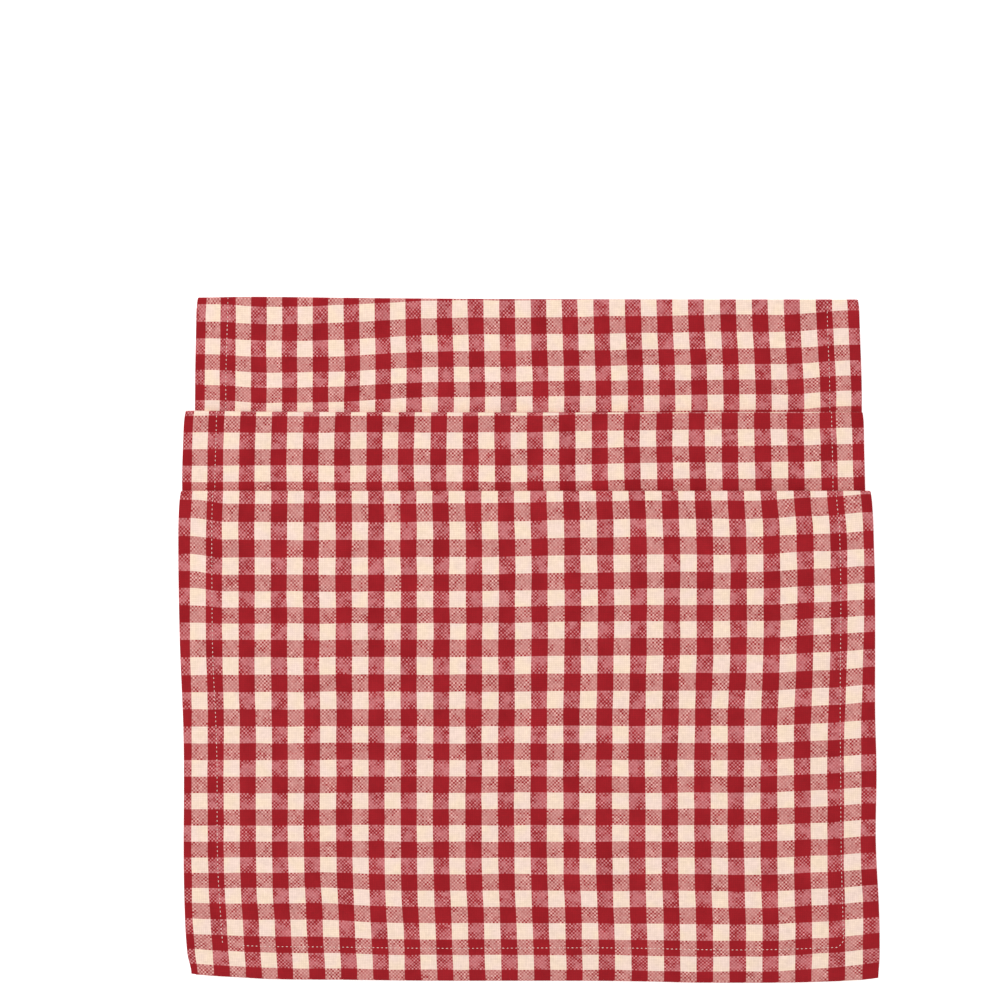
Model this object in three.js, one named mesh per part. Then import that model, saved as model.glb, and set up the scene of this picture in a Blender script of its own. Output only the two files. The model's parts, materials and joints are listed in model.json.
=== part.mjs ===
// A checked cotton table runner, machine-hemmed on all four sides, folded in a zigzag into six
// leaves and laid flat with its three back folds stepped, so that each one shows behind the next.
//
// The cloth is one long strip. It is built here as six flat leaves joined by five fold loops:
//   leaf 1 (lowest) -- back fold -- leaf 2 -- lower near fold -- leaf 3 -- middle fold -- leaf 4
//   -- upper near fold -- leaf 5 -- front fold -- leaf 6 (top, with the front hem)
// The face of the cloth looks up on the even leaves and down on the odd ones. A hem is turned
// twice to the wrong side, so it lies on top of an odd leaf and hangs below an even one.
//
// Millimetres, +X to the right, +Y from the front hem to the back fold, +Z up. The origin is the
// centre of the footprint, on the surface that the cloth lies on.

import * as THREE from 'three';

// ---- Driving dimensions -------------------------------------------------------------------------

// Lengths along Y. "Reach" is a distance behind the front hem's edge.
const frontFoldReach = 284;      // front hem to the outer line of the front fold
const middleStep = 46;           // how far the middle fold shows behind the front fold
const backStep = 66;             // how far the back fold shows behind the middle fold
const nearFoldReach = 6;         // how far the two hidden near folds sit behind the front hem
const backHemReach = 4;          // how far the hidden back hem sits behind the front hem

// Widths along X. The cloth is drawn in a little towards each back fold.
const frontWidth = 400;
const frontFoldDrawIn = 1;
const middleFoldDrawIn = 7;
const backFoldDrawIn = 16;

// Cloth, hems and thread.
const clothThickness = 0.5;
const hemDepth = 21.5;           // from the cloth's edge to the inner edge of the turned hem
const hemPlies = 2;              // extra layers of cloth that a double-turned hem adds
const stitchInset = 19.5;        // from the cloth's edge to the middle of the stitching
const stitchWidth = 0.8;
const stitchHeight = 0.2;

// Clearances.
const leafGap = 0.3;             // air between two leaves at their closest
const foldGap = 0.3;             // between a leaf's end and the plane through its fold's axis

const arcSteps = 6;

// ---- Worked-out sizes ---------------------------------------------------------------------------

const leafCount = 6;
const hemThickness = hemPlies * clothThickness;

// From a leaf to the one above it, where their wrong sides face (two hems and a row of stitching
// lie between them) and where their right sides face (only a row of stitching does).
const wrongSidePitch = clothThickness + 2 * hemThickness + stitchHeight + leafGap;
const rightSidePitch = clothThickness + stitchHeight + leafGap;

const wrongSideUp = (leaf) => leaf % 2 === 0;

const leafBottom = [0];
for (let leaf = 0; leaf < leafCount - 1; leaf++) {
  leafBottom.push(leafBottom[leaf] + (wrongSideUp(leaf) ? wrongSidePitch : rightSidePitch));
}

// A back fold's outer radius is half the height of the two leaves that it joins.
const backFoldRadius = (wrongSidePitch + clothThickness) / 2;
const nearFoldRadius = (rightSidePitch + clothThickness) / 2;

const middleFoldReach = frontFoldReach + middleStep;
const backFoldReach = middleFoldReach + backStep;

// Each back fold joins a pair of leaves: its outer line and the width of the cloth there.
const backFolds = [
  { reach: backFoldReach, width: frontWidth - backFoldDrawIn },
  { reach: middleFoldReach, width: frontWidth - middleFoldDrawIn },
  { reach: frontFoldReach, width: frontWidth - frontFoldDrawIn },
];

const footprintCentre = backFoldReach / 2;

const leaves = [];
for (let leaf = 0; leaf < leafCount; leaf++) {
  const backFold = backFolds[Math.floor(leaf / 2)];
  const isFirst = leaf === 0;
  const isLast = leaf === leafCount - 1;
  const nearFoldEnd = nearFoldReach + foldGap;
  leaves.push({
    name: `leaf_${leaf + 1}`,
    bottom: leafBottom[leaf],
    wrongSideUp: wrongSideUp(leaf),
    hasEndHem: isFirst || isLast,
    near: isFirst ? backHemReach : isLast ? 0 : nearFoldEnd,
    far: backFold.reach - backFoldRadius - foldGap,
    halfWidthAt: (reach) => (frontWidth - (frontWidth - backFold.width) * (reach / backFold.reach)) / 2,
  });
}

// ---- Materials ----------------------------------------------------------------------------------

const checkedCloth = () => new THREE.MeshStandardMaterial({ color: 0xca7c7a, roughness: 0.9, metalness: 0 });
const hemCloth = () => new THREE.MeshStandardMaterial({ color: 0xb9605f, roughness: 0.9, metalness: 0 });
const creamThread = () => new THREE.MeshStandardMaterial({ color: 0xf4d8c8, roughness: 0.7, metalness: 0 });

// ---- Shapes -------------------------------------------------------------------------------------

const runner = new THREE.Group();
runner.position.y = -footprintCentre;

function addPiece(name, geometry, material) {
  const mesh = new THREE.Mesh(geometry, material);
  mesh.name = name;
  runner.add(mesh);
}

// A flat layer with straight sides, from its corners (x, reach) in anticlockwise order.
function layer(corners, bottom, thickness) {
  const outline = new THREE.Shape(corners.map(([x, reach]) => new THREE.Vector2(x, reach)));
  const geometry = new THREE.ExtrudeGeometry(outline, { depth: thickness, bevelEnabled: false });
  return geometry.translate(0, 0, bottom);
}

// A layer that follows one side edge of a leaf, between two distances in from that edge.
function edgeStrip(leaf, side, outerInset, innerInset, near, far, bottom, thickness) {
  const outer = (reach) => side * (leaf.halfWidthAt(reach) - outerInset);
  const inner = (reach) => side * (leaf.halfWidthAt(reach) - innerInset);
  const corners = [[inner(near), near], [outer(near), near], [outer(far), far], [inner(far), far]];
  return layer(side > 0 ? corners : corners.reverse(), bottom, thickness);
}

// A half ring around a fold's axis, as wide as the cloth or hem that it carries round.
function foldLoop(axisReach, axisHeight, innerRadius, outerRadius, left, right, towardsBack) {
  const quarter = Math.PI / 2;
  const start = towardsBack ? -quarter : quarter;
  const section = new THREE.Shape();
  section.absarc(axisReach, axisHeight, outerRadius, start, start + Math.PI, false);
  section.absarc(axisReach, axisHeight, innerRadius, start + Math.PI, start, true);
  const geometry = new THREE.ExtrudeGeometry(section, {
    depth: right - left,
    curveSegments: arcSteps,
    bevelEnabled: false,
  });
  const alongX = new THREE.Matrix4().makeBasis(
    new THREE.Vector3(0, 1, 0),
    new THREE.Vector3(0, 0, 1),
    new THREE.Vector3(1, 0, 0),
  );
  return geometry.applyMatrix4(alongX).translate(left, 0, 0);
}

const sides = [
  { name: 'left', sign: -1 },
  { name: 'right', sign: 1 },
];

// ---- Leaves: cloth, turned side hems and the stitching on their upper faces ----------------------

for (const leaf of leaves) {
  const { name, bottom, near, far, halfWidthAt } = leaf;
  const top = bottom + clothThickness;
  const hemBottom = leaf.wrongSideUp ? top : bottom - hemThickness;
  const stitchBottom = leaf.wrongSideUp ? top + hemThickness : top;

  addPiece(`${name}_cloth`, layer([
    [-halfWidthAt(near), near],
    [halfWidthAt(near), near],
    [halfWidthAt(far), far],
    [-halfWidthAt(far), far],
  ], bottom, clothThickness), checkedCloth());

  const sideHemNear = leaf.hasEndHem ? near + hemDepth : near;
  const sideStitchNear = leaf.hasEndHem ? near + stitchInset + stitchWidth / 2 : near;
  for (const side of sides) {
    addPiece(
      `${name}_hem_${side.name}`,
      edgeStrip(leaf, side.sign, 0, hemDepth, sideHemNear, far, hemBottom, hemThickness),
      hemCloth(),
    );
    addPiece(
      `${name}_stitching_${side.name}`,
      edgeStrip(leaf, side.sign, stitchInset - stitchWidth / 2, stitchInset + stitchWidth / 2,
        sideStitchNear, far, stitchBottom, stitchHeight),
      creamThread(),
    );
  }

  if (leaf.hasEndHem) {
    const endName = leaf.wrongSideUp ? 'back' : 'front';
    const hemInner = near + hemDepth;
    addPiece(`${endName}_hem`, layer([
      [-halfWidthAt(near), near],
      [halfWidthAt(near), near],
      [halfWidthAt(hemInner), hemInner],
      [-halfWidthAt(hemInner), hemInner],
    ], hemBottom, hemThickness), hemCloth());

    const seamNear = near + stitchInset - stitchWidth / 2;
    const seamFar = near + stitchInset + stitchWidth / 2;
    const seamHalf = (reach) => halfWidthAt(reach) - stitchInset + stitchWidth / 2;
    addPiece(`${endName}_hem_stitching`, layer([
      [-seamHalf(seamNear), seamNear],
      [seamHalf(seamNear), seamNear],
      [seamHalf(seamFar), seamFar],
      [-seamHalf(seamFar), seamFar],
    ], stitchBottom, stitchHeight), creamThread());
  }
}

// ---- Folds: the loop of cloth and the two hems that it carries round ----------------------------

const folds = [
  { name: 'back_fold', lowerLeaf: 0, towardsBack: true },
  { name: 'lower_near_fold', lowerLeaf: 1, towardsBack: false },
  { name: 'middle_fold', lowerLeaf: 2, towardsBack: true },
  { name: 'upper_near_fold', lowerLeaf: 3, towardsBack: false },
  { name: 'front_fold', lowerLeaf: 4, towardsBack: true },
];

for (const { name, lowerLeaf, towardsBack } of folds) {
  const leaf = leaves[lowerLeaf];
  const outerRadius = towardsBack ? backFoldRadius : nearFoldRadius;
  const innerRadius = outerRadius - clothThickness;
  const axisHeight = leaf.bottom + outerRadius;
  const axisReach = towardsBack ? leaf.far + foldGap : nearFoldReach;
  const halfWidth = leaf.halfWidthAt(axisReach);
  addPiece(
    `${name}_cloth`,
    foldLoop(axisReach, axisHeight, innerRadius, outerRadius, -halfWidth, halfWidth, towardsBack),
    checkedCloth(),
  );

  // The hems run inside the loop at a back fold and outside it at a near fold.
  const hemOuterRadius = towardsBack ? innerRadius : outerRadius + hemThickness;
  const hemInnerRadius = hemOuterRadius - hemThickness;
  for (const side of sides) {
    const edge = side.sign * halfWidth;
    const inner = side.sign * (halfWidth - hemDepth);
    addPiece(
      `${name}_hem_${side.name}`,
      foldLoop(axisReach, axisHeight, hemInnerRadius, hemOuterRadius,
        Math.min(edge, inner), Math.max(edge, inner), towardsBack),
      hemCloth(),
    );
  }
}

export default runner;
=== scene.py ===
"""A checked cotton table runner, folded in a zigzag: its woven cloth, folds, turned hems and stitching.

Lengths in the code are millimetres where a name or comment says so, and metres in everything that
Blender and the frame see. "Reach" is a distance behind the front hem, "across" a distance from the
cloth's centre line, and "woven" a distance along the cloth itself, from the front hem's edge.
"""

import json
import math

import bpy
import numpy as np
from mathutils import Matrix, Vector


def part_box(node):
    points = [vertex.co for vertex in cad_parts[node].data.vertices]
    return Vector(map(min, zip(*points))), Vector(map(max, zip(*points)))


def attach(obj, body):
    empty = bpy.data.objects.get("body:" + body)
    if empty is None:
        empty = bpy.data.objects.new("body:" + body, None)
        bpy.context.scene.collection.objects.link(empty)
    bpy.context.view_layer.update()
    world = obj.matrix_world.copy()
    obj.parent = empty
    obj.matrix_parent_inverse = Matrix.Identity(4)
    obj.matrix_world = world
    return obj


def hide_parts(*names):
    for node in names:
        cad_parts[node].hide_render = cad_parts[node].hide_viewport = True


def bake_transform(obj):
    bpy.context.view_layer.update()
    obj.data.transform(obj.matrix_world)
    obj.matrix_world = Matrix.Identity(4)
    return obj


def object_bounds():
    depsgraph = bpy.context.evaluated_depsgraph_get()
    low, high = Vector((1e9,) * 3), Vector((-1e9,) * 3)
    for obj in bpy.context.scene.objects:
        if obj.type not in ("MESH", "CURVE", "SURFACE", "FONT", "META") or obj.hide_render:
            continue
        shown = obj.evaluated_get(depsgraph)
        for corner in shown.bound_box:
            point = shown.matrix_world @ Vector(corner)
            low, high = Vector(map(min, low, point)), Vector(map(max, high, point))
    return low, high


bl_info = {
    "name": "Folded checked table runner",
    "version": (1, 0, 0),
    "blender": (4, 5, 0),
    "location": "3D View > Sidebar > Runner",
    "description": "Builds a zigzag-folded checked table runner around its packed frame",
    "category": "Object",
}

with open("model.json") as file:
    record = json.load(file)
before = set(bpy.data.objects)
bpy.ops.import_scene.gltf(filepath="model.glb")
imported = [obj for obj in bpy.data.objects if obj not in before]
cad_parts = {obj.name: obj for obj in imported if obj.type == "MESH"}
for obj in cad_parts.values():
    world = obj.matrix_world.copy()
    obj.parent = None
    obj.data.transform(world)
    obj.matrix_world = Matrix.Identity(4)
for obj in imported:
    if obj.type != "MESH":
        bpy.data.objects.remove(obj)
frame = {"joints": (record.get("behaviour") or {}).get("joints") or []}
CAD_BOX = [[float(x) for x in corner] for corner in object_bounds()]

MM = 0.001
LEAVES = (6, 5, 4, 3, 2, 1)
# Each fold with the leaf above it, and +1 where it is at the back or -1 where it is near the front.
FOLDS = (
    ("front_fold", 6, 1),
    ("upper_near_fold", 5, -1),
    ("middle_fold", 4, 1),
    ("lower_near_fold", 3, -1),
    ("back_fold", 2, 1),
)
FOLD_MARGIN = 5.0  # how much of the two leaves a fold's strip of cloth takes, in mm
BACK_HEM_REACH = 4.0  # where the hidden back hem's edge lies, in mm behind the front hem's

# How finely the mesh follows the cloth's turns, in cells.
TURNED_EDGE_CELLS = 5
INNER_TURN_CELLS = 4
SIDE_HEM_CELLS = 8
END_HEM_CELLS = 7
BACK_LOOP_CELLS = 14
NEAR_LOOP_CELLS = 8
SEAM_COLUMNS = 13
COLUMN_STEP = 1.25  # the columns' step over the plain part of the cloth, in row steps
SEAM_BAND = 3.0  # closely set columns begin this far inside the hem's inner edge, in mm
ROW_PAST_HEM = 0.3  # the first row past an end hem lies this far from it, in mm
SLIVER = 1e-6


# ---- How this cloth lies ----
# Curves, in mm, that keep the runner from being drawn with a ruler.

# Extra cloth that lies between a leaf's start and a reach, in the order of travel along the cloth.
SLACK = {
    6: (
        (0, 0), (21, 1.9), (40, 2.6), (75, 3.1), (133, 4.3), (173, 3.3), (200, 2.3), (231, 3.2),
        (262, 1.9), (282, 0.3),
    ),
    5: ((282, 0), (6, 3.3)),
    4: ((6, 0), (284, 4.2), (328, 4.6)),
    3: ((328, 0), (6, 0.0)),
    2: ((6, 0), (200, 1.5), (330, 2.9), (360, 5.4), (380, 5.7), (394, 5.1)),
    1: ((394, 0), (4, 0.5)),
}
# Where the cloth's middle wanders to, by woven length.
MIDDLE = (
    (0, 1.3), (32, 0.6), (69, -0.6), (145, -0.7), (203, -0.2), (262, -0.4), (284, -0.9),
    (566, 3.0), (850, -2.6), (897, -2.7), (1223, 3.0), (1500, 0.3), (1565, 0.6), (1618, -0.5),
    (1684, 0.4), (2012, 3.0),
)
# How wide it lies there, as a share of its finished width.
SPREAD = (
    (0, 0.990), (32, 0.9955), (69, 0.9986), (145, 0.999), (203, 1.0064), (262, 1.0055), (284, 0.9985),
    (566, 0.978), (850, 0.993), (897, 0.988), (1223, 0.978), (1565, 0.9735), (1618, 0.966),
    (1684, 0.969), (2012, 0.978),
)
# How far the checks have crept sideways past the line that the hems were turned on.
CREEP = (
    (0, 2.4), (32, 2.0), (69, 2.0), (145, 1.6), (203, 0.2), (284, -0.7), (566, 0.0), (850, 0.6),
    (897, 0.8), (1223, 0.0), (1565, 0.2), (1618, 0.6), (2012, 0.0),
)
BOW, BOW_SPAN = 1.9, 179  # how far the middle checks sit left, and how far out that has faded
# How far each side edge is tucked in from the finished width.
LEFT_TUCK = ((0, -1.9), (32, -1.4), (69, -0.5), (145, 0.0), (897, 0.3), (2012, 0.5))
RIGHT_TUCK = (
    (0, -1.6), (45, -1.4), (85, -0.1), (126, -0.8), (165, 0.2), (203, 0.5), (240, 0.2), (262, 0.2),
    (284, -0.8), (566, -2.4), (850, 0.9), (897, 0.8), (1223, 0.8), (1565, 1.1), (1618, 0.4), (1684, 1.0),
    (2012, 1.0),
)
# The front hem's edge, by distance across: how far it lies back from a straight line.
FRONT_EDGE = (
    (-200, 3.8), (-189, 3.0), (-177, 2.4), (-154, 1.2), (-110, 0.8), (-60, 0.3), (40, 0.2), (75, -0.3),
    (95, -0.8), (150, -0.8), (180, 0.0), (192, 0.6), (200, 1.4),
)
# How far the crosswise yarns of each leaf that faces up ride behind a straight line, as ramps across the
# cloth: a ramp's height, and the two places across that it rises between.
TOP_RAMPS = ((1.7, 135, 172), (1.7, 170, 200))
SECOND_RAMPS = ((1.9, -20, 120), (1.0, 155, 195))
THIRD_RAMPS = ((1.5, -20, 140), (2.4, 150, 195), (-3.8, -40, -140), (1.5, -155, -190))
# Slow swells in a slack leaf: height, wavelength across and along over 2 pi, and phase.
SWELLS = ((0.5, 27, 41, 1.3), (0.3, 14.5, -22, 4.0), (0.2, 9.5, 12, 2.2))
SWELL_AT_HEM, SWELL_IN_HOLLOW = 0.06, 0.32  # how much a swell counts over the hem, and more past it
HOLLOW_INSET = 95  # a leaf has sunk fully this far in from its side edge
FOLD_SUPPORT = 22  # a fold below holds a leaf up over about this distance
NEAR_FOLDS_HOLD = (5, 30)  # the near folds hold it up to the first reach, and no more at the second
FOLD_STANDS = 1.7  # how far a back fold stands behind its hinge line
FOLD_CREST = 2.4  # from a back fold's hinge line to its outermost yarn, along the cloth
EDGE_BAND = 16  # how far in from a side edge its tucks are felt
FOLD_PINCH, PINCH_RUN = 0.7, 5  # how far a back fold draws the side edges in, and over what length
CORNER_ACROSS, CORNER_ALONG = 12, 14  # how far a front corner's rounding reaches
LEFT_CORNER, RIGHT_CORNER = 1.8, 0.6  # how far each front corner is drawn in
FRONT_EDGE_RUN = 80  # the front edge's unevenness dies out over this length
FRONT_DROOP, DROOP_RUN = 0.6, 25  # how far the front edge droops, and over what length
END_HEM_SPREAD = 0.988  # an end hem's width, as a share of the cloth's it is turned under
# How much rounder than a half circle each back fold is, by distance across.
ROUNDNESS = {
    "front_fold": ((-200, -0.2), (0, -0.25), (200, -0.2)),
    "middle_fold": ((-200, 0.2), (-150, -0.2), (0, -0.5), (200, -0.35)),
    "back_fold": ((-200, 0.25), (-165, 0.55), (-100, 0.1), (0, -0.35), (200, -0.5)),
}


def rise(x, start, end):
    """0 at start, 1 at end and beyond, with a smooth S between them; start may be the larger."""
    t = np.clip((np.asarray(x, float) - start) / (end - start), 0, 1)
    return t * t * (3 - 2 * t)


def smooth_curve(x, points):
    """A smooth curve through a few (x, y) points, level beyond the first and the last."""
    px, py = np.array(sorted(points), float).T
    slope = np.zeros_like(px)
    slope[1:-1] = (py[2:] - py[:-2]) / (px[2:] - px[:-2])
    x = np.clip(np.asarray(x, float), px[0], px[-1])
    k = np.clip(np.searchsorted(px, x, side="right") - 1, 0, len(px) - 2)
    gap = px[k + 1] - px[k]
    t = (x - px[k]) / gap
    start = py[k] * (1 + 2 * t) * (1 - t) ** 2 + slope[k] * gap * t * (1 - t) ** 2
    end = py[k + 1] * t * t * (3 - 2 * t) + slope[k + 1] * gap * t * t * (t - 1)
    return start + end


def ramps(across, steps):
    """Ramps across the cloth, added up."""
    return sum(height * rise(across, start, end) for height, start, end in steps)


def weft_lift(across, woven):
    """How far a crosswise yarn rides behind a straight line; it shows on the three leaves facing up."""
    top = 1 - rise(woven, 300, 480)
    top_lift = ramps(across, TOP_RAMPS)
    # The top leaf is dragged back on its right as it nears its fold, and there at its left edge too.
    top_lift = top_lift + 1.7 * rise(across, -60, 90) * rise(woven, 120, 240)
    top_lift = top_lift + 2.0 * rise(across, -172, -192) * rise(woven, 195, 235)
    # A low wave crosses the left part of it, just behind the front hem.
    front_left = rise(across, -70, -125) * (1 - 0.5 * rise(across, -150, -195))
    top_lift = top_lift + 2.1 * front_left * np.exp(-(((woven - 45) / 26) ** 2))
    second = rise(woven, 620, 800) * (1 - rise(woven, 920, 1100))
    third = rise(woven, 1300, 1500)
    return top * top_lift + second * ramps(across, SECOND_RAMPS) + third * ramps(across, THIRD_RAMPS)


def put_in_scene(name, data):
    """A new object that holds the data, linked to the scene."""
    made = bpy.data.objects.new(name, data)
    bpy.context.scene.collection.objects.link(made)
    return made


# ---- The cloth as one long sheet ----


class LaidCloth:
    """The whole runner as one grid: crosswise rows along its folded path, and columns over its width."""

    def __init__(self, cloth):
        self.thickness = cloth.thickness / MM
        self.ply = cloth.ply_pitch / MM
        self.half_width = cloth.finished_width / MM / 2
        self.hem_depth = cloth.hem_depth / MM
        self.flap_depth = cloth.flap_depth / MM
        self.sag = cloth.sag / MM
        self.step = cloth.mesh_step / MM
        self.front_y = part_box("leaf_6_cloth")[0][1] / MM
        self.height = {}
        for leaf in LEAVES:
            low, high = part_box(f"leaf_{leaf}_cloth")
            self.height[leaf] = (low[2] + high[2]) / 2 / MM
        self.axis = {}
        for joint in frame["joints"]:
            fold = joint["name"].replace("_open", "")
            self.axis[fold] = joint["pos_m"][1] / MM - self.front_y
        self.lay_columns()
        self.lay_rows()
        self.place()

    def lay_columns(self):
        """The profile across the cloth: the panel, and each side's turned edge, hem and inner flap."""
        turn = self.ply
        edge = self.half_width - turn
        inner = self.half_width - self.hem_depth + turn / 2
        panel = np.arange(0, inner - SEAM_BAND - 1, self.step * COLUMN_STEP)
        panel = np.append(panel, np.linspace(inner - SEAM_BAND, edge, SEAM_COLUMNS))
        points = [(a, a, 0.0, 0) for a in panel]
        woven = edge
        for angle in np.radians(np.linspace(-90, 90, TURNED_EDGE_CELLS + 1))[1:]:
            woven += turn * math.pi / TURNED_EDGE_CELLS
            points.append((woven, edge + turn * math.cos(angle), turn + turn * math.sin(angle), 1))
        for a in np.linspace(edge, inner, SIDE_HEM_CELLS + 1)[1:]:
            woven += (edge - inner) / SIDE_HEM_CELLS
            points.append((woven, a, 2 * turn, 2))
        radius = turn / 2
        for angle in np.radians(np.linspace(90, 270, INNER_TURN_CELLS + 1))[1:]:
            woven += radius * math.pi / INNER_TURN_CELLS
            depth = 1.5 * turn + radius * math.sin(angle)
            points.append((woven, inner + radius * math.cos(angle), depth, 2))
        last = inner + self.flap_depth
        for a in np.linspace(inner, last, SIDE_HEM_CELLS + 1)[1:]:
            woven += self.flap_depth / SIDE_HEM_CELLS
            points.append((woven, a, turn, 2))
        half = np.array(points)
        mirrored = half[:0:-1] * np.array([-1, -1, 1, 1])
        both = np.vstack([mirrored, half])
        self.col_woven, self.col_across, self.col_depth = both[:, 0], both[:, 1], both[:, 2]
        self.col_kind = both[:, 3].astype(int)
        self.cut_width = 2 * half[-1, 0]

    def lay_rows(self):
        """The path along the cloth, from the front hem's cut edge to the back hem's."""
        rows = []
        kinds = {"panel": 0, "end_turn": 1, "end_hem": 2}

        def add(piece, kind, woven, lay, reach, height, side_y, side_z, drop=0.0):
            rows.append((piece, kinds[kind], woven, lay, reach, height, side_y, side_z, drop))

        turn = self.ply

        def end_hem(edge_reach):
            """The turned hem at an end of the cloth, from its edge: kind, travel, reach and drop."""
            found = []
            travel = 0.0
            centre = edge_reach + turn
            for angle in np.radians(np.linspace(90, -90, TURNED_EDGE_CELLS + 1))[1:]:
                travel += turn * math.pi / TURNED_EDGE_CELLS
                drop = turn * (1 - math.sin(angle))
                found.append(("end_turn", travel, centre - turn * math.cos(angle), drop))
            depth = self.hem_depth - 1.5 * turn
            parts = np.linspace(0, 1, END_HEM_CELLS + 1)[1:]
            for part in parts:
                found.append(("end_hem", travel + part * depth, centre + part * depth, 2 * turn))
            travel += depth
            radius = turn / 2
            for angle in np.radians(np.linspace(-90, 90, INNER_TURN_CELLS + 1))[1:]:
                travel += radius * math.pi / INNER_TURN_CELLS
                reach = centre + (depth + radius * math.cos(angle))
                found.append(("end_hem", travel, reach, 1.5 * turn + radius * -math.sin(angle)))
            for part in parts:
                reach = centre + (depth - part * self.flap_depth)
                found.append(("end_hem", travel + part * self.flap_depth, reach, turn))
            return found

        for kind, travel, reach, drop in reversed(end_hem(0.0)):
            add("leaf_6", kind, -travel, abs(reach), reach, self.height[6], 0.0, -1, drop)

        woven = 0.0
        fold_after = {leaf: (fold, way) for fold, leaf, way in FOLDS}
        start = turn
        self.woven_at_end = {}
        for leaf in LEAVES:
            fold, way = fold_after.get(leaf, ("", -1))
            end = self.axis[fold] if fold else BACK_HEM_REACH + turn
            direction = 1 if end > start else -1
            length = abs(end - start)
            wrong_z = -1 if leaf % 2 == 0 else 1
            origin = 0.0 if leaf == 6 else start
            slack = [(direction * (r - origin), s) for r, s in SLACK[leaf]]
            marks = {0.0, length}
            if leaf == 6:
                marks.add(self.hem_depth + ROW_PAST_HEM - turn)
            else:
                marks.add(FOLD_MARGIN)
            if leaf == 1:
                marks.add(length - self.hem_depth - ROW_PAST_HEM + turn)
            else:
                marks.add(length - FOLD_MARGIN)
            stations = []
            marks = sorted(marks)
            for a, b in zip(marks[:-1], marks[1:]):
                count = max(2, round((b - a) / self.step))
                stations += list(np.linspace(a, b, count + 1)[:-1])
            stations.append(marks[-1])
            for s in stations:
                reach = start + direction * s
                travelled = abs(reach - origin)
                flat = woven + travelled + float(smooth_curve(travelled, slack))
                piece = f"leaf_{leaf}"
                if leaf != 6 and s < FOLD_MARGIN - SLIVER:
                    piece = previous_fold
                if leaf != 1 and s > length - FOLD_MARGIN - SLIVER:
                    piece = fold
                add(piece, "panel", flat, flat, reach, self.height[leaf], 0.0, wrong_z)
            self.woven_at_end[leaf] = flat
            woven = flat
            start = end
            if not fold:
                break
            previous_fold = fold
            below = self.height[leaf - 1]
            radius = (self.height[leaf] - below) / 2
            centre_z = (self.height[leaf] + below) / 2
            cells = BACK_LOOP_CELLS if way > 0 else NEAR_LOOP_CELLS
            side = -1 if way > 0 else 1
            for angle in np.radians(np.linspace(90, -90, cells + 1))[1:-1]:
                woven += radius * math.pi / cells
                y, z = way * math.cos(angle), math.sin(angle)
                reach, height = end + radius * y, centre_z + radius * z
                add(fold, "panel", woven, woven, reach, height, side * y, side * z)
            woven += radius * math.pi / cells
        self.length = woven
        for kind, travel, reach, drop in end_hem(BACK_HEM_REACH):
            lay = woven - abs(reach - BACK_HEM_REACH)
            add("leaf_1", kind, woven + travel, lay, reach, self.height[1], 0.0, 1, drop)

        self.row_piece = [row[0] for row in rows]
        numbers = np.array([row[1:] for row in rows], float)
        self.row_kind = numbers[:, 0].astype(int)
        self.row_woven, self.row_lay, self.row_reach, self.row_height = numbers[:, 1:5].T
        self.row_side_y, self.row_side_z, self.row_drop = numbers[:, 5:8].T

    def lateral(self, across, lay):
        """Where a point of the cloth lies sideways."""
        checks = across + smooth_curve(lay, CREEP)
        x = smooth_curve(lay, MIDDLE) + smooth_curve(lay, SPREAD) * checks
        x = x - BOW * (1 - (checks / BOW_SPAN) ** 2)
        outer = rise(np.abs(across), self.half_width - EDGE_BAND, self.half_width)
        pinch = 0.0
        for _, leaf, way in FOLDS:
            if way > 0:
                line = self.woven_at_end[leaf] + FOLD_CREST
                pinch = pinch + FOLD_PINCH * np.exp(-(((lay - line) / PINCH_RUN) ** 2))
        tuck = np.where(across < 0, smooth_curve(lay, LEFT_TUCK), smooth_curve(lay, RIGHT_TUCK))
        corner = rise(np.abs(across), self.half_width - CORNER_ACROSS, self.half_width)
        corner = corner * (1 - rise(lay, 0, CORNER_ALONG))
        corner = corner * np.where(across < 0, LEFT_CORNER, RIGHT_CORNER)
        return x - np.sign(across) * (outer * (pinch + tuck) + corner)

    def sink(self, across, reach):
        """How far a leaf that faces up sinks, in mm, where no hem or fold below holds it up."""
        between = rise(reach, *NEAR_FOLDS_HOLD)
        for fold, _, way in FOLDS:
            line = self.axis[fold] + (FOLD_STANDS if way > 0 else 0)
            between = between * (1 - np.exp(-(((reach - line) / FOLD_SUPPORT) ** 2)))
        inner = self.half_width - self.hem_depth
        hollow = rise(np.abs(across), inner, self.half_width - HOLLOW_INSET)
        swell = 0.0
        for size, wide, deep, phase in SWELLS:
            swell = swell + size * np.sin(across / wide + reach / deep + phase)
        swell = (SWELL_AT_HEM + SWELL_IN_HOLLOW * hollow) * (1 + swell)
        return between * (self.sag * hollow + swell)

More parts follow.
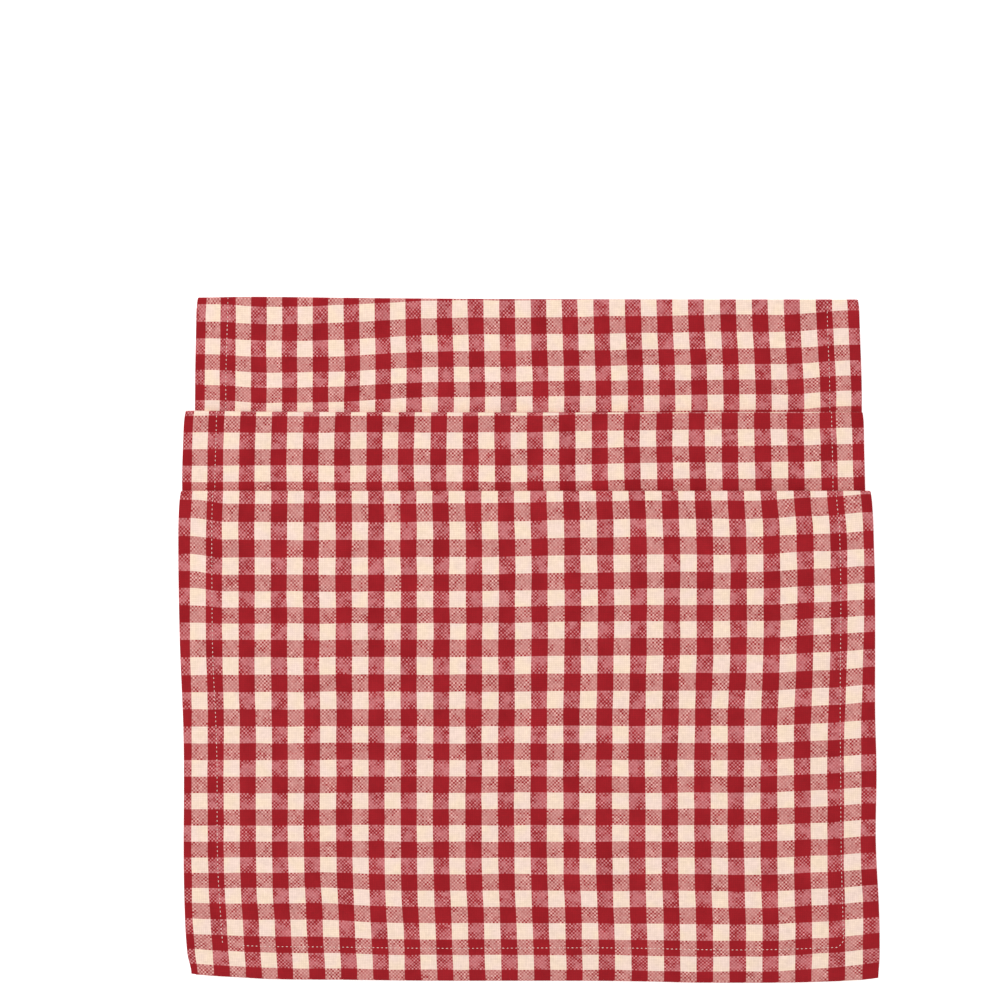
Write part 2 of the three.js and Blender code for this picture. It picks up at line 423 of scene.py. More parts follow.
    def place(self):
        """Works out every grid point, and the direction that the cloth's face looks there."""
        across = self.col_across[None, :]
        lay = self.row_lay[:, None]
        reach = self.row_reach[:, None]
        depth = self.col_depth[None, :] + self.row_drop[:, None]
        inside = np.where(self.row_kind > 0, END_HEM_SPREAD, 1.0)[:, None]
        x = self.lateral(across * inside, lay)
        y = reach + depth * self.row_side_y[:, None]
        y = y + smooth_curve(across, FRONT_EDGE) * (1 - rise(lay, 0, FRONT_EDGE_RUN))
        pieces = np.array(self.row_piece)
        for fold, _, way in FOLDS:
            if way < 0:
                continue
            rows = np.flatnonzero(pieces == fold)
            past = y[rows] - self.axis[fold]
            bulge = 1 + smooth_curve(across, ROUNDNESS[fold])
            y[rows] = self.axis[fold] + np.where(past > 0, past * bulge, past)
        facing_up = np.clip(-self.row_side_z, 0, 1)[:, None]
        z = self.row_height[:, None] - facing_up * self.sink(across, reach)
        z = z + depth * self.row_side_z[:, None]
        z = z - FRONT_DROOP * (1 - rise(lay, 0, DROOP_RUN))
        self.points = np.stack([x, y + self.front_y, z], axis=-1)
        self.facing = self.face_direction(self.points)
        weave_across = self.col_woven[None, :] + smooth_curve(lay, CREEP)
        weave_along = self.row_woven[:, None] - weft_lift(across, lay)
        self.weave = np.stack([weave_across, weave_along], axis=-1)
        self.seam_map = np.stack(np.broadcast_arrays(across, lay), axis=-1)

    @staticmethod
    def face_direction(points):
        """The unit direction that the face of the cloth looks, from the mean of neighbouring edges."""
        tangents = []
        for axis in (1, 0):
            edge = np.diff(points, axis=axis)
            edge = edge / np.maximum(np.linalg.norm(edge, axis=-1, keepdims=True), 1e-9)
            first = np.take(edge, [0], axis=axis)
            last = np.take(edge, [-1], axis=axis)
            before = np.concatenate([first, edge], axis=axis)
            after = np.concatenate([edge, last], axis=axis)
            tangents.append(before + after)
        normal = np.cross(tangents[0], tangents[1])
        return normal / np.maximum(np.linalg.norm(normal, axis=-1, keepdims=True), 1e-9)

    def has_cell(self):
        """Which cells of the grid hold cloth: side hems stop short of the two end hems."""
        col = np.maximum(self.col_kind[:-1], self.col_kind[1:])[None, :]
        row = np.maximum(self.row_kind[:-1], self.row_kind[1:])[:, None]
        near = np.minimum(self.row_lay[:-1], self.row_lay[1:])[:, None]
        far = np.maximum(self.row_lay[:-1], self.row_lay[1:])[:, None]
        clear = (near > self.hem_depth) & (far < self.length - self.hem_depth)
        panel = col == 0
        turned_edge = (col == 1) & (row == 0)
        hem = (col == 2) & (row == 0) & clear
        return panel | turned_edge | hem

    def cell_owner(self):
        """The piece that each row of cells belongs to."""
        owner = []
        for a, b in zip(self.row_piece[:-1], self.row_piece[1:]):
            owner.append(b if "fold" in b and "fold" not in a else a)
        return np.array(owner)

    def make_mesh(self, piece):
        """One piece of the cloth as a closed sheet with its two faces and the edges between them."""
        cells = self.has_cell() & (self.cell_owner() == piece)[:, None]
        rows, cols = np.nonzero(cells)
        width = self.points.shape[1]
        corner = rows * width + cols
        quads = np.stack([corner, corner + 1, corner + width + 1, corner + width], axis=1)
        used, quads = np.unique(quads, return_inverse=True)
        quads = quads.reshape(-1, 4)
        count = len(used)
        middle = self.points.reshape(-1, 3)[used]
        half = self.facing.reshape(-1, 3)[used] * self.thickness / 2
        vertices = np.vstack([middle + half, middle - half]) * MM
        edges = np.stack([quads, np.roll(quads, -1, axis=1)], axis=-1).reshape(-1, 2)
        keys = edges[:, 0] * count + edges[:, 1]
        back = edges[:, 1] * count + edges[:, 0]
        rim = edges[~np.isin(keys, back)]
        sides = np.stack([rim[:, 1], rim[:, 0], rim[:, 0] + count, rim[:, 1] + count], axis=1)
        faces = np.vstack([quads, quads[:, ::-1] + count, sides])

        mesh = bpy.data.meshes.new(piece)
        mesh.from_pydata(vertices.tolist(), [], faces.tolist())
        corners = np.zeros(len(mesh.loops), int)
        mesh.loops.foreach_get("vertex_index", corners)
        for name, field in (("Weave", self.weave), ("Seams", self.seam_map)):
            flat = np.tile(field.reshape(-1, 2)[used] * MM, (2, 1))
            layer = mesh.uv_layers.new(name=name)
            layer.data.foreach_set("uv", flat[corners].ravel().astype(np.float32))
        mesh.uv_layers["Weave"].active = True
        mesh.uv_layers["Weave"].active_render = True
        mesh.polygons.foreach_set("use_smooth", np.ones(len(mesh.polygons), bool))
        total = 2 * count
        rim_keys = np.sort(np.vstack([rim, rim + count]), axis=1)
        rim_keys = rim_keys[:, 0] * total + rim_keys[:, 1]
        found = np.zeros(2 * len(mesh.edges), int)
        mesh.edges.foreach_get("vertices", found)
        found = np.sort(found.reshape(-1, 2), axis=1)
        sharp = np.isin(found[:, 0] * total + found[:, 1], rim_keys)
        mark = mesh.attributes.new("sharp_edge", "BOOLEAN", "EDGE")
        mark.data.foreach_set("value", sharp)
        mesh.update()
        return put_in_scene(f"{piece}_woven", mesh)

    def woven_range(self, piece):
        """The stretch of the cloth that a piece holds, in mm along it."""
        rows = np.flatnonzero((self.cell_owner() == piece) & (self.row_kind[:-1] == 0))
        return self.row_woven[rows[0]], self.row_woven[rows[-1] + 1]

    def on_cloth(self, across, woven):
        """Points of the cloth's middle layer and its face direction, from places on the flat cloth."""
        panel_rows = np.flatnonzero(self.row_kind == 0)
        panel_cols = np.flatnonzero(self.col_kind == 0)
        rows = self.row_woven[panel_rows]
        cols = self.col_across[panel_cols]
        j = np.clip(np.searchsorted(rows, woven) - 1, 0, len(rows) - 2)
        i = np.clip(np.searchsorted(cols, across) - 1, 0, len(cols) - 2)
        down = ((woven - rows[j]) / (rows[j + 1] - rows[j]))[:, None]
        side = ((across - cols[i]) / (cols[i + 1] - cols[i]))[:, None]
        j, i = panel_rows[j], panel_cols[i]
        found = []
        for grid in (self.points, self.facing):
            near = grid[j, i] * (1 - side) + grid[j, i + 1] * side
            far = grid[j + 1, i] * (1 - side) + grid[j + 1, i + 1] * side
            found.append(near * (1 - down) + far * down)
        return found


# ---- Nodes ----


def fill_sockets(tree, node, values):
    """Gives a node's sockets their values, or links them."""
    for key, value in values.items():
        if isinstance(value, Socket):
            value = value.output
        if isinstance(value, bpy.types.NodeSocket):
            tree.links.new(value, node.inputs[key])
        else:
            node.inputs[key].default_value = value


def add_node(tree, kind, settings, values):
    """Adds a node: its settings first, and then the values or links of its sockets."""
    node = tree.nodes.new(kind)
    for key, value in settings.items():
        setattr(node, key, value)
    fill_sockets(tree, node, values)
    return node


class Socket:
    """A shader value that can be added, scaled and compared; each step adds its Math node."""

    def __init__(self, nodes, output):
        self.nodes = nodes
        self.output = output

    def math(self, operation, *values):
        node = self.nodes.add("ShaderNodeMath", {"operation": operation}, dict(enumerate(values)))
        return Socket(self.nodes, node.outputs[0])

    def __add__(self, other):
        return self.math("ADD", self, other)

    __radd__ = __add__

    def __sub__(self, other):
        return self.math("SUBTRACT", self, other)

    def __rsub__(self, other):
        return self.math("SUBTRACT", other, self)

    def __mul__(self, other):
        return self.math("MULTIPLY", self, other)

    __rmul__ = __mul__

    def __rtruediv__(self, other):
        return self.math("DIVIDE", other, self)

    def floor(self):
        return self.math("FLOOR", self)

    def wrap(self, period):
        return self.math("FLOORED_MODULO", self, period)

    def below(self, limit):
        return self.math("LESS_THAN", self, limit)

    def sine(self):
        return self.math("SINE", self)

    def size(self):
        return self.math("ABSOLUTE", self)

    def limited(self):
        node = self.nodes.add("ShaderNodeClamp", {}, {"Value": self})
        return Socket(self.nodes, node.outputs[0])


class MaterialNodes:
    """A new material, its Principled BSDF, and the one method that adds any other node to it."""

    def __init__(self, name, constants):
        self.material = bpy.data.materials.new(name)
        self.material.use_nodes = True
        self.tree = self.material.node_tree
        self.surface = self.tree.nodes["Principled BSDF"]
        self.dress(constants)

    def dress(self, values):
        """Sets or links the surface's own sockets."""
        fill_sockets(self.tree, self.surface, values)

    def add(self, kind, settings, values):
        return add_node(self.tree, kind, settings, values)

    def value(self, node, output=0):
        return Socket(self, node.outputs[output])

    def noise(self, vector, scale, detail=1.0):
        values = {"Vector": vector, "Scale": scale, "Detail": detail, "Roughness": 0.5}
        return self.add("ShaderNodeTexNoise", {"noise_dimensions": "3D"}, values)

    def point(self, x, y, z=0.0):
        return self.add("ShaderNodeCombineXYZ", {}, {"X": x, "Y": y, "Z": z}).outputs[0]

    def vector(self, operation, *values, scale=None):
        inputs = dict(enumerate(values))
        if scale is not None:
            inputs["Scale"] = scale
        return self.add("ShaderNodeVectorMath", {"operation": operation}, inputs).outputs[0]

    def mix(self, share, first, second):
        """Two colours mixed; sockets 6 and 7 are the Mix node's colours, and output 2 its result."""
        settings = {"data_type": "RGBA", "blend_type": "MIX", "clamp_factor": True}
        return self.add("ShaderNodeMix", settings, {0: share, 6: first, 7: second}).outputs[2]

    def patches(self, vector, scale, contrast, detail=1.0):
        """Soft patches between 0 and 1, with a contrast that noise alone doesn't reach."""
        spread = self.value(self.noise(vector, scale, detail)) - 0.5
        return (spread * contrast + 0.5).limited()

    def stray(self, vector, scale, distance, detail):
        """An offset of up to about half the distance, which changes smoothly from place to place."""
        noise = self.noise(vector, scale, detail).outputs["Color"]
        noise = self.vector("SUBTRACT", noise, (0.5, 0.5, 0.5))
        return self.vector("SCALE", noise, scale=distance)


# ---- Materials ----

METRES_TO_MM = 1000.0
WEFT_START = 1.9  # where the first weft band starts, in mm from the front edge
SLUB_RUN = 0.22  # slubs to a mm of yarn, about
YARN_GAP = 5.37  # how far apart in the noise two yarns lie, so that each has slubs of its own
WARP_LAYER, WEFT_LAYER = 3.1, 7.7  # where in the noise each set of yarns lies
RED_WARP_SHARE = 0.87  # how much red shows where only the warp is red
RED_WEFT_SHARE = 0.64  # and where only the weft is
SLUB_PUSH = 0.65  # how much a fat yarn hides the one that it crosses
SPECK = 0.4  # how much single crossings differ


def colour(value):
    return (value[0], value[1], value[2], 1.0)


def checked_cotton(cloth, stitching):
    """Plain-woven yarn-dyed checks: every yarn is red or cream, and they pass over and under."""
    nodes = MaterialNodes(
        "checked_cotton",
        {"Roughness": 0.88, "Specular IOR Level": 0.15, "Sheen Weight": 0.03, "Sheen Roughness": 0.6},
    )
    flat = nodes.add("ShaderNodeUVMap", {"uv_map": "Weave"}, {}).outputs[0]
    flat = nodes.vector("SCALE", flat, scale=METRES_TO_MM)

    # The yarns wander a little from straight lines, and more finely at each yarn's edge.
    placed = nodes.vector("ADD", flat, nodes.stray(flat, 0.035, 1.4, 2.0))
    placed = nodes.vector("ADD", placed, nodes.stray(flat, 0.35, 0.14, 1.0))
    apart = nodes.add("ShaderNodeSeparateXYZ", {}, {"Vector": placed})
    across, along = nodes.value(apart, 0), nodes.value(apart, 1)

    yarns = cloth.yarns_per_check
    pitch_across = cloth.check_across / MM / yarns
    pitch_along = cloth.check_along / MM / yarns
    warp = across * (1 / pitch_across) + 0.5
    weft = (along - WEFT_START) * (1 / pitch_along) + yarns / 2
    warp_number, weft_number = warp.floor(), weft.floor()
    red_warp = (warp_number - (yarns + 1) / 2).wrap(2 * yarns).below(yarns - 0.5)
    red_weft = weft_number.wrap(2 * yarns).below(yarns - 0.5)
    both = red_warp * red_weft
    either = red_warp + red_weft - 2 * both

    # Slubs: each yarn swells and thins along its length.
    warp_place = nodes.point(warp_number * YARN_GAP, along * SLUB_RUN, WARP_LAYER)
    weft_place = nodes.point(across * SLUB_RUN, weft_number * YARN_GAP, WEFT_LAYER)
    warp_slub = nodes.value(nodes.noise(warp_place, 1.0, 2.0)) - 0.5
    weft_slub = nodes.value(nodes.noise(weft_place, 1.0, 2.0)) - 0.5

    # Over and under: positive where a warp yarn is on top, negative where a weft yarn is.
    crossing = (warp * math.pi).sine() * (weft * math.pi).sine()
    lattice = crossing * 0.5 + 0.5
    settled = {"Vector": nodes.point(warp_number, weft_number)}
    speck = nodes.add("ShaderNodeTexWhiteNoise", {"noise_dimensions": "2D"}, settled)
    speck = nodes.value(speck) - 0.5
    warp_share = RED_WARP_SHARE + SLUB_PUSH * warp_slub - SLUB_PUSH * weft_slub + SPECK * speck
    weft_share = RED_WEFT_SHARE + SLUB_PUSH * weft_slub - SLUB_PUSH * warp_slub + SPECK * speck
    share = weft_share + (warp_share - weft_share) * red_warp
    # The crossings stand out in some patches and close up in others.
    clear = nodes.patches(flat, 0.13, 4.5)
    red_shows = ((share - lattice) * (0.34 + 0.62 * clear) + 0.5).limited()
    red = both + either * red_shows

    # Cream yarn between red ones takes on some of their colour.
    tone = nodes.patches(flat, 0.09, 3.4)
    cream = nodes.mix(tone, colour(cloth.cream_warm), colour(cloth.cream_pink))
    cream = nodes.mix(either * red_warp, cream, colour(cloth.cream_in_red_warp))
    cream = nodes.mix(either * red_weft, cream, colour(cloth.cream_in_red_weft))
    dye = nodes.patches(flat, 0.05, 2.0, detail=2.0)
    red_yarn = nodes.mix(dye, colour(cloth.red_dark), colour(cloth.red_light))
    shown = nodes.mix(red, cream, red_yarn)

    # Yarn crowns catch a little more light than the gaps between them.
    crown = crossing.size()
    light = 0.92 + 0.16 * crown + 0.2 * (warp_slub + weft_slub) + 0.05 * speck
    shown = nodes.vector("SCALE", shown, scale=light)

    # The thread pulls the cloth into small puckers beside each seam, and the hem's inner edge shows.
    place = nodes.add("ShaderNodeUVMap", {"uv_map": "Seams"}, {}).outputs[0]
    place = nodes.vector("SCALE", place, scale=METRES_TO_MM)
    place = nodes.add("ShaderNodeSeparateXYZ", {}, {"Vector": place})
    out = nodes.value(place, 0).size()
    beside = out - (cloth.finished_width / 2 - stitching.inset) / MM
    closeness = 1 / (1 + beside * beside * 0.9)
    pucker = (nodes.value(place, 1) * (2 * math.pi * MM / stitching.pitch)).sine() * closeness
    hem_edge = out - (cloth.finished_width / 2 - cloth.hem_depth) / MM
    ridge = 1 / (1 + hem_edge * hem_edge * 1.5)

    slubs = 0.6 * (warp_slub + weft_slub)
    height = crown * 0.5 + slubs + 0.5 * pucker - 0.8 * closeness + 0.5 * ridge
    relief = {"Strength": 0.7, "Distance": cloth.yarn_relief, "Height": height}
    bump = nodes.add("ShaderNodeBump", {}, relief)
    rough = 0.86 + 0.06 * red + 0.2 * weft_slub
    nodes.dress({"Base Color": shown, "Normal": bump.outputs[0], "Roughness": rough})
    return nodes.material


FIBRES_PER_METRE = 5200.0
FIBRE_RELIEF = 0.00008


def sewing_thread(stitching):
    """Cream polyester thread, a little smoother than the cloth."""
    nodes = MaterialNodes("sewing_thread", {"Roughness": 0.6, "Sheen Weight": 0.1})
    here = nodes.add("ShaderNodeTexCoord", {}, {}).outputs["Object"]
    fibre = nodes.value(nodes.noise(here, FIBRES_PER_METRE, 2.0))
    shade = fibre * 0.36 + 0.82
    shown = nodes.vector("SCALE", colour(stitching.thread_colour)[:3], scale=shade)
    relief = {"Strength": 0.5, "Distance": FIBRE_RELIEF, "Height": fibre}
    bump = nodes.add("ShaderNodeBump", {}, relief)
    nodes.dress({"Base Color": shown, "Normal": bump.outputs[0]})
    return nodes.material


# ---- Stitches ----


# The smallest and the largest stitch, as shares of the set length, width and height.
SMALLEST_STITCH = (0.84, 0.85, 0.9)
LARGEST_STITCH = (1.1, 1.12, 1.0)
PATH_STEP = 1.5  # between the points of a seam's path, in mm


def stitch_tree():
    """Geometry Nodes that set one stitch after another along every seam line of a mesh."""
    tree = bpy.data.node_groups.new("stitches_along_seams", "GeometryNodeTree")
    face = tree.interface
    face.new_socket("Seams", in_out="INPUT", socket_type="NodeSocketGeometry")
    for name in ("Pitch", "Stitch Length", "Stitch Width", "Stitch Height"):
        face.new_socket(name, in_out="INPUT", socket_type="NodeSocketFloat")
    face.new_socket("Seed", in_out="INPUT", socket_type="NodeSocketInt")
    face.new_socket("Thread", in_out="INPUT", socket_type="NodeSocketMaterial")
    face.new_socket("Stitches", in_out="OUTPUT", socket_type="NodeSocketGeometry")

    def add(kind, settings, values):
        return add_node(tree, kind, settings, values)

    given = tree.nodes.new("NodeGroupInput").outputs
    lines = add("GeometryNodeMeshToCurve", {}, {0: given["Seams"]})
    spacing = {"Curve": lines.outputs[0], "Length": given["Pitch"]}
    points = add("GeometryNodeCurveToPoints", {"mode": "LENGTH"}, spacing)
    course = {"Vector": points.outputs["Tangent"]}
    along = add("FunctionNodeAlignRotationToVector", {"axis": "X"}, course)
    away = add("GeometryNodeInputNamedAttribute", {"data_type": "FLOAT_VECTOR"}, {"Name": "away"})
    turned = add(
        "FunctionNodeAlignRotationToVector",
        {"axis": "Z", "pivot_axis": "X"},
        {"Rotation": along.outputs[0], "Vector": away.outputs[0]},
    )
    bead = add("GeometryNodeMeshUVSphere", {}, {"Segments": 6, "Rings": 5, "Radius": 0.5})
    shape = add(
        "ShaderNodeCombineXYZ",
        {},
        {"X": given["Stitch Length"], "Y": given["Stitch Width"], "Z": given["Stitch Height"]},
    )
    pressed = {"Geometry": bead.outputs["Mesh"], "Scale": shape.outputs[0]}
    stitch = add("GeometryNodeTransform", {}, pressed)
    limits = {0: SMALLEST_STITCH, 1: LARGEST_STITCH, "Seed": given["Seed"]}
    uneven = add("FunctionNodeRandomValue", {"data_type": "FLOAT_VECTOR"}, limits)
    placed = add(
        "GeometryNodeInstanceOnPoints",
        {},
        {
            "Points": points.outputs["Points"],
            "Instance": stitch.outputs[0],
            "Rotation": turned.outputs[0],
            "Scale": uneven.outputs[0],
        },
    )
    solid = add("GeometryNodeRealizeInstances", {}, {"Geometry": placed.outputs[0]})
    threaded = {"Geometry": solid.outputs[0], "Material": given["Thread"]}
    dressed = add("GeometryNodeSetMaterial", {}, threaded)
    result = tree.nodes.new("NodeGroupOutput")
    tree.links.new(dressed.outputs[0], result.inputs[0])
    return tree


def seam_paths(laid, stitching, piece):
    """The seam lines on one piece, as (across, woven) pairs in mm, in the order they were sewn."""
    inset = stitching.inset / MM
    line = laid.half_width - inset
    first, last = laid.woven_range(piece)
    end = laid.length - inset
    paths = []

    def wander(woven):
        """How far a side seam strays from its line."""
        return 0.3 * np.sin(woven / 43.0 + 0.7) + 0.15 * np.sin(woven / 17.0)

    def side(sign, start, stop):
        """A side seam, from one place along the cloth to another."""
        woven = np.append(np.arange(start, stop, PATH_STEP), stop)
        return np.stack([sign * line + wander(woven), woven], axis=1)

    if piece == "leaf_6":
        # The right seam turns the corner with a short slanting step and runs on along the front. It
        # stops short of the left seam, which starts about level with it.
        right = side(1, inset + 6.0, last)[::-1]
        step = [[line - 0.6, inset + 3.9]]
        front_start, front_stop = line - 3.0, -laid.half_width + 31
        across = np.arange(front_start, front_stop, -PATH_STEP)
        front = inset + 1.3 + 0.2 * np.sin(across / 31.0) + 0.8 * rise(across, 120, 175)
        front = np.stack([across, front], axis=1)
        paths.append(np.vstack([right, step, front]))
        paths.append(side(-1, inset + 1.8, last))
    elif piece == "leaf_1":
        across = np.arange(-line + PATH_STEP, line - 1.4, PATH_STEP)
        back = np.stack([across, np.full_like(across, end)], axis=1)
        paths.append(np.vstack([side(-1, first, end), back, side(1, first, end)[::-1]]))
    else:
        for sign in (-1, 1):
            paths.append(side(sign, first, last))
    return paths


def seam_mesh(laid, stitching, piece):
    """The seam lines of one piece on both faces of the cloth, with the way that each point faces."""
    points, away, edges = [], [], []
    under = 2 * laid.ply + laid.thickness / 2
    lift = stitching.lift / MM
    for path in seam_paths(laid, stitching, piece):
        middle, facing = laid.on_cloth(path[:, 0], path[:, 1])
        for face, distance in ((1, laid.thickness / 2 + lift), (-1, under + lift)):
            line = (middle + facing * face * distance) * MM
            steps = np.linalg.norm(np.diff(line, axis=0), axis=1)
            travelled = np.concatenate([[0], np.cumsum(steps)])
            count = int(travelled[-1] / stitching.pitch)
            if count < 2:
                continue
            pitch = travelled[-1] / count
            inner = travelled[(travelled > pitch / 2) & (travelled < travelled[-1] - pitch / 2)]
            stops = np.concatenate([[pitch / 2], inner, [travelled[-1] - pitch / 2]])
            at = [np.interp(stops, travelled, line[:, k]) for k in range(3)]
            way = [np.interp(stops, travelled, facing[:, k] * face) for k in range(3)]
            start = sum(len(p) for p in points)
            points.append(np.stack(at, axis=1))
            away.append(np.stack(way, axis=1))
            edges += [(start + k, start + k + 1) for k in range(len(stops) - 1)]
    mesh = bpy.data.meshes.new(f"{piece}_seams")
    mesh.from_pydata(np.vstack(points).tolist(), edges, [])
    attribute = mesh.attributes.new("away", "FLOAT_VECTOR", "POINT")
    attribute.data.foreach_set("vector", np.vstack(away).ravel().astype(np.float32))
    return mesh


def sew(laid, stitching, tree, thread, piece, seed):
    """One piece's stitches as a plain mesh."""
    seams = put_in_scene(f"{piece}_seams", seam_mesh(laid, stitching, piece))
    modifier = seams.modifiers.new("stitches", "NODES")
    modifier.node_group = tree
    wanted = {
        "Pitch": stitching.pitch,
        "Stitch Length": stitching.stitch_length,
        "Stitch Width": stitching.stitch_width,
        "Stitch Height": stitching.stitch_height,
        "Seed": seed,
        "Thread": thread,
    }
    for item in tree.interface.items_tree:
        if item.in_out == "INPUT" and item.name in wanted:
            modifier[item.identifier] = wanted[item.name]
    ready = seams.evaluated_get(bpy.context.evaluated_depsgraph_get())
    mesh = bpy.data.meshes.new_from_object(ready)
    mesh.name = f"{piece}_stitches"
    mesh.polygons.foreach_set("use_smooth", np.ones(len(mesh.polygons), bool))
    if not mesh.polygons:
        raise RuntimeError(f"no stitches were made on {piece}")
    seams.modifiers.clear()
    bpy.data.objects.remove(seams)
    return put_in_scene(f"{piece}_stitches", mesh)


# ---- Settings ----


def metres(name, description, default):
    """A size in metres that a user may change."""
    return bpy.props.FloatProperty(name=name, description=description, default=default, unit="LENGTH")


def tint(name, description, default):
    """A colour that a user may change."""
    return bpy.props.FloatVectorProperty(
        name=name, description=description, default=default, subtype="COLOR"
    )


class RunnerCloth(bpy.types.PropertyGroup):
    """The woven cloth: its sizes, its weave and its dyes."""

    finished_width: metres("Finished width", "Width between the turned edges", 0.400)
    thickness: metres("Thickness", "Thickness of one layer of cloth", 0.00042)
    ply_pitch: metres("Ply pitch", "Distance between the layers of a hem", 0.00048)
    hem_depth: metres("Hem depth", "From the turned edge to the hem's inner edge", 0.0215)
    flap_depth: metres("Flap depth", "Cloth turned in again inside the hem", 0.0195)
    sag: metres("Sag", "How far a leaf sinks between its side hems", 0.0011)
    mesh_step: metres("Mesh step", "Distance between rows of the mesh", 0.0032)
    check_across: metres("Check width", "Width of one check", 0.009445)
    check_along: metres("Check length", "Length of one check", 0.009645)
    yarns_per_check: bpy.props.IntProperty(
        name="Yarns per check", description="Yarns of one colour in a row, an odd number", default=9
    )
    yarn_relief: metres("Yarn relief", "Height of the yarn crowns over the gaps", 0.00008)
    red_dark: tint("Red, dark", "Red yarn where the dye is deepest", (0.285, 0.006, 0.011))
    red_light: tint("Red, light", "Red yarn where the dye is palest", (0.365, 0.012, 0.019))
    cream_warm: tint("Cream, warm", "Yellower cream yarn", (0.925, 0.72, 0.555))
    cream_pink: tint("Cream, pink", "Pinker cream yarn", (0.91, 0.697, 0.605))
    cream_in_red_warp: tint("Cream over red warp", "Cream weft among red warp", (0.94, 0.42, 0.43))
    cream_in_red_weft: tint("Cream over red weft", "Cream warp among red weft", (0.945, 0.542, 0.488))


class RunnerStitching(bpy.types.PropertyGroup):
    """The machine stitching that holds the hems."""

    inset: metres("Inset", "From the turned edge to the seam", 0.0195)
    pitch: metres("Pitch", "From one stitch to the next", 0.0025)
    stitch_length: metres("Stitch length", "Part of a stitch that shows", 0.0014)
    stitch_width: metres("Stitch width", "Width of the pressed thread", 0.00044)
    stitch_height: metres("Stitch height", "Height of the thread, half of it sunk in", 0.00036)
    lift: metres("Lift", "Height of a stitch's middle over the cloth", 0.00004)
    thread_colour: tint("Thread", "Colour of the sewing thread", (0.90, 0.72, 0.64))


class RunnerStage(bpy.types.PropertyGroup):
    """The floor, the lights and the camera."""

    camera_height: metres("Camera height", "Height over the top of the cloth", 1.2)
    view_width: metres("View width", "Width that the camera sees at the cloth's top", 0.578)
    view_centre: bpy.props.FloatVectorProperty(
        name="View centre",
        description="Point that the camera looks down on",
        default=(-0.0156, 0.0803),
        size=2,
        subtype="XYZ",
        unit="LENGTH",
    )
    room_light: bpy.props.FloatProperty(
        name="Room light", description="Strength of the even light from all round", default=0.74
    )
    lamp_power: bpy.props.FloatProperty(
        name="Lamp power", description="Power of the soft lamp overhead", default=24.0, unit="POWER"
    )


# ---- Operators ----


def settings():
    scene = bpy.context.scene
    return scene.runner_cloth, scene.runner_stitching, scene.runner_stage


def ready_material(name, maker, *values):
    return bpy.data.materials.get(name) or maker(*values)


class RUNNER_OT_leaves(bpy.types.Operator):
    """Makes the six flat leaves of the folded cloth, with their turned hems"""

    bl_idname = "runner.leaves"
    bl_label = "Leaves and hems"

    def execute(self, context):
        cloth, stitching, _ = settings()
        laid = LaidCloth(cloth)
        cotton = ready_material("checked_cotton", checked_cotton, cloth, stitching)
        for leaf in LEAVES:
            name = f"leaf_{leaf}"
            made = laid.make_mesh(name)
            made.data.materials.append(cotton)
            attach(made, name)
            nodes = [f"{name}_cloth", f"{name}_hem_left", f"{name}_hem_right"]
            nodes += {6: ["front_hem"], 1: ["back_hem"]}.get(leaf, [])
            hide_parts(*nodes)
        return {"FINISHED"}


class RUNNER_OT_folds(bpy.types.Operator):
    """Makes the five folds, where the cloth turns back over itself"""

    bl_idname = "runner.folds"
    bl_label = "Folds"

    def execute(self, context):
        cloth, stitching, _ = settings()
        laid = LaidCloth(cloth)
        cotton = ready_material("checked_cotton", checked_cotton, cloth, stitching)
        for fold, leaf, way in FOLDS:
            made = laid.make_mesh(fold)
            made.data.materials.append(cotton)
            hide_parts(f"{fold}_cloth", f"{fold}_hem_left", f"{fold}_hem_right")
            bend(made)
        return {"FINISHED"}


def bend(made):
    """Bakes a fold piece's placement into its mesh."""
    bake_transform(made)


class RUNNER_OT_stitching(bpy.types.Operator):
    """Sews the hems"""

    bl_idname = "runner.stitching"
    bl_label = "Stitching"

    def execute(self, context):
        cloth, stitching, _ = settings()
        laid = LaidCloth(cloth)
        tree = stitch_tree()
        thread = ready_material("sewing_thread", sewing_thread, stitching)
        turned = cloth.hem_depth + cloth.flap_depth
        for leaf in LEAVES:
            name = f"leaf_{leaf}"
            made = sew(laid, stitching, tree, thread, name, leaf)
            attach(made, name)
            nodes = [f"{name}_stitching_left", f"{name}_stitching_right"]
            nodes += {6: ["front_hem_stitching"], 1: ["back_hem_stitching"]}.get(leaf, [])
            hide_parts(*nodes)
            first, last = laid.woven_range(name)
            length = (last - first) * MM + (turned if leaf in (1, 6) else 0)
        for number, (fold, leaf, way) in enumerate(FOLDS):
            made = sew(laid, stitching, tree, thread, fold, 10 + number)
            bend(made)
            first, last = laid.woven_range(fold)
        return {"FINISHED"}


FLOOR_REACH = 20.0
FLOOR_DROP = 0.0002  # the floor lies this far below the cloth
SENSOR = 36


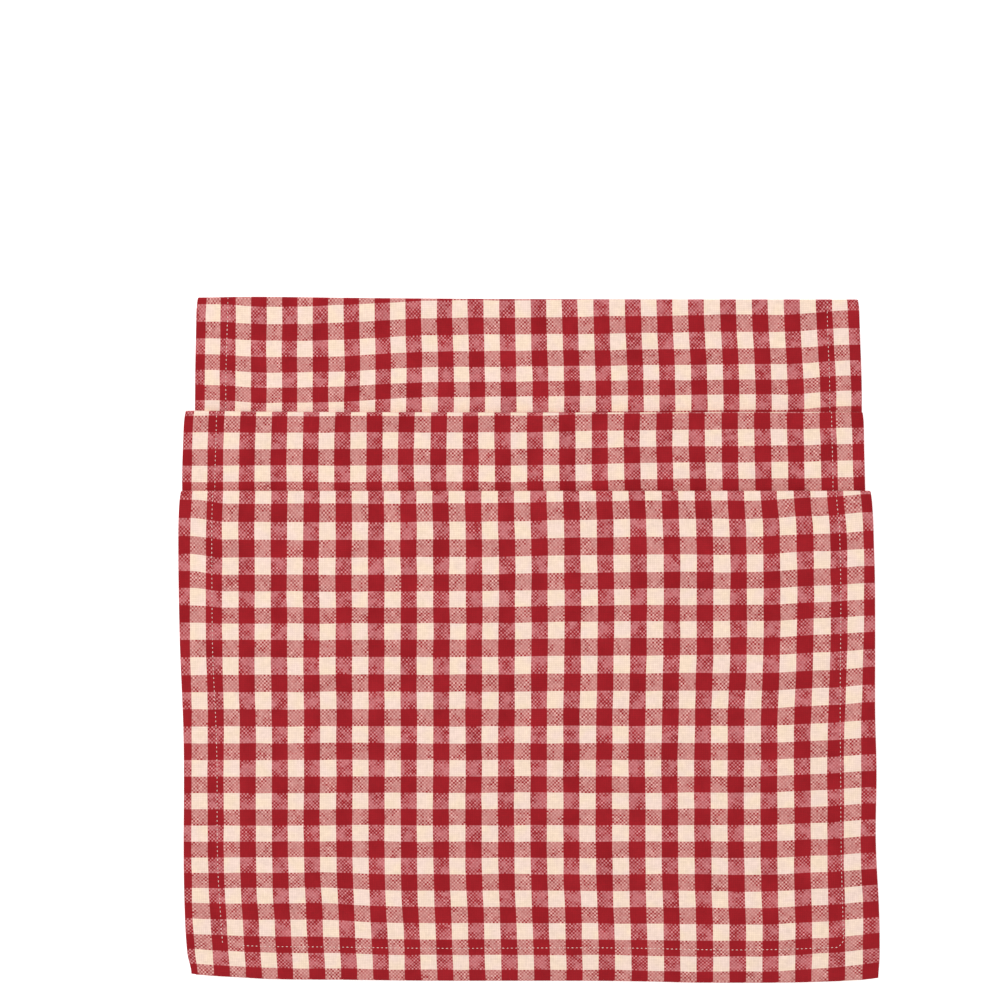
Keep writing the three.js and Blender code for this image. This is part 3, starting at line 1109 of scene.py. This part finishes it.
class RUNNER_OT_stage(bpy.types.Operator):
    """Sets up the white floor, the soft even light and the camera overhead"""

    bl_idname = "runner.stage"
    bl_label = "Stage"

    def execute(self, context):
        stage = settings()[2]
        scene = context.scene
        signs = ((-1, -1), (1, -1), (1, 1), (-1, 1))
        corners = [(x * FLOOR_REACH, y * FLOOR_REACH, -FLOOR_DROP) for x, y in signs]
        mesh = bpy.data.meshes.new("floor")
        mesh.from_pydata(corners, [], [(0, 1, 2, 3)])
        floor = put_in_scene("floor", mesh)
        paint = MaterialNodes(
            "white_floor",
            {
                "Base Color": (0.92, 0.92, 0.92, 1),
                "Roughness": 0.9,
                "Emission Color": (1, 1, 1, 1),
                "Emission Strength": 0.5,
            },
        )
        floor.data.materials.append(paint.material)

        world = bpy.data.worlds.new("even_light")
        world.use_nodes = True
        background = world.node_tree.nodes["Background"]
        background.inputs["Color"].default_value = (1, 1, 1, 1)
        background.inputs["Strength"].default_value = stage.room_light
        scene.world = world

        lamp = bpy.data.lights.new("soft_lamp", "AREA")
        lamp.shape = "SQUARE"
        lamp.size = 2.0
        lamp.energy = stage.lamp_power
        hung = put_in_scene("soft_lamp", lamp)
        hung.location = (-0.7, 0.9, 2.1)
        hung.rotation_euler = (-0.35, -0.3, 0)

        camera = bpy.data.cameras.new("camera")
        camera.sensor_width = SENSOR
        camera.lens = SENSOR * stage.camera_height / stage.view_width
        seen = put_in_scene("camera", camera)
        x, y = stage.view_centre
        seen.location = (x, y, CAD_BOX[1][2] + stage.camera_height)
        scene.camera = seen
        scene.view_settings.view_transform = "Standard"
        scene.view_settings.look = "None"
        return {"FINISHED"}


class RUNNER_PT_panel(bpy.types.Panel):
    """Lists the steps that build the runner"""

    bl_idname = "RUNNER_PT_panel"
    bl_label = "Folded runner"
    bl_space_type = "VIEW_3D"
    bl_region_type = "UI"
    bl_category = "Runner"

    def draw(self, context):
        column = self.layout.column()
        for step in STEPS:
            column.operator(step.bl_idname)
        for group in settings():
            box = self.layout.box()
            for name in group.__annotations__:
                box.prop(group, name)


STEPS = (RUNNER_OT_leaves, RUNNER_OT_folds, RUNNER_OT_stitching, RUNNER_OT_stage)
CLASSES = (RunnerCloth, RunnerStitching, RunnerStage, *STEPS, RUNNER_PT_panel)


def register():
    for cls in CLASSES:
        bpy.utils.register_class(cls)
    bpy.types.Scene.runner_cloth = bpy.props.PointerProperty(type=RunnerCloth)
    bpy.types.Scene.runner_stitching = bpy.props.PointerProperty(type=RunnerStitching)
    bpy.types.Scene.runner_stage = bpy.props.PointerProperty(type=RunnerStage)


def unregister():
    for name in ("runner_cloth", "runner_stitching", "runner_stage"):
        delattr(bpy.types.Scene, name)
    for cls in reversed(CLASSES):
        bpy.utils.unregister_class(cls)


def main():
    register()
    bpy.ops.runner.leaves()
    bpy.ops.runner.folds()
    bpy.ops.runner.stitching()
    bpy.ops.runner.stage()


if __name__ == "__main__":
    main()
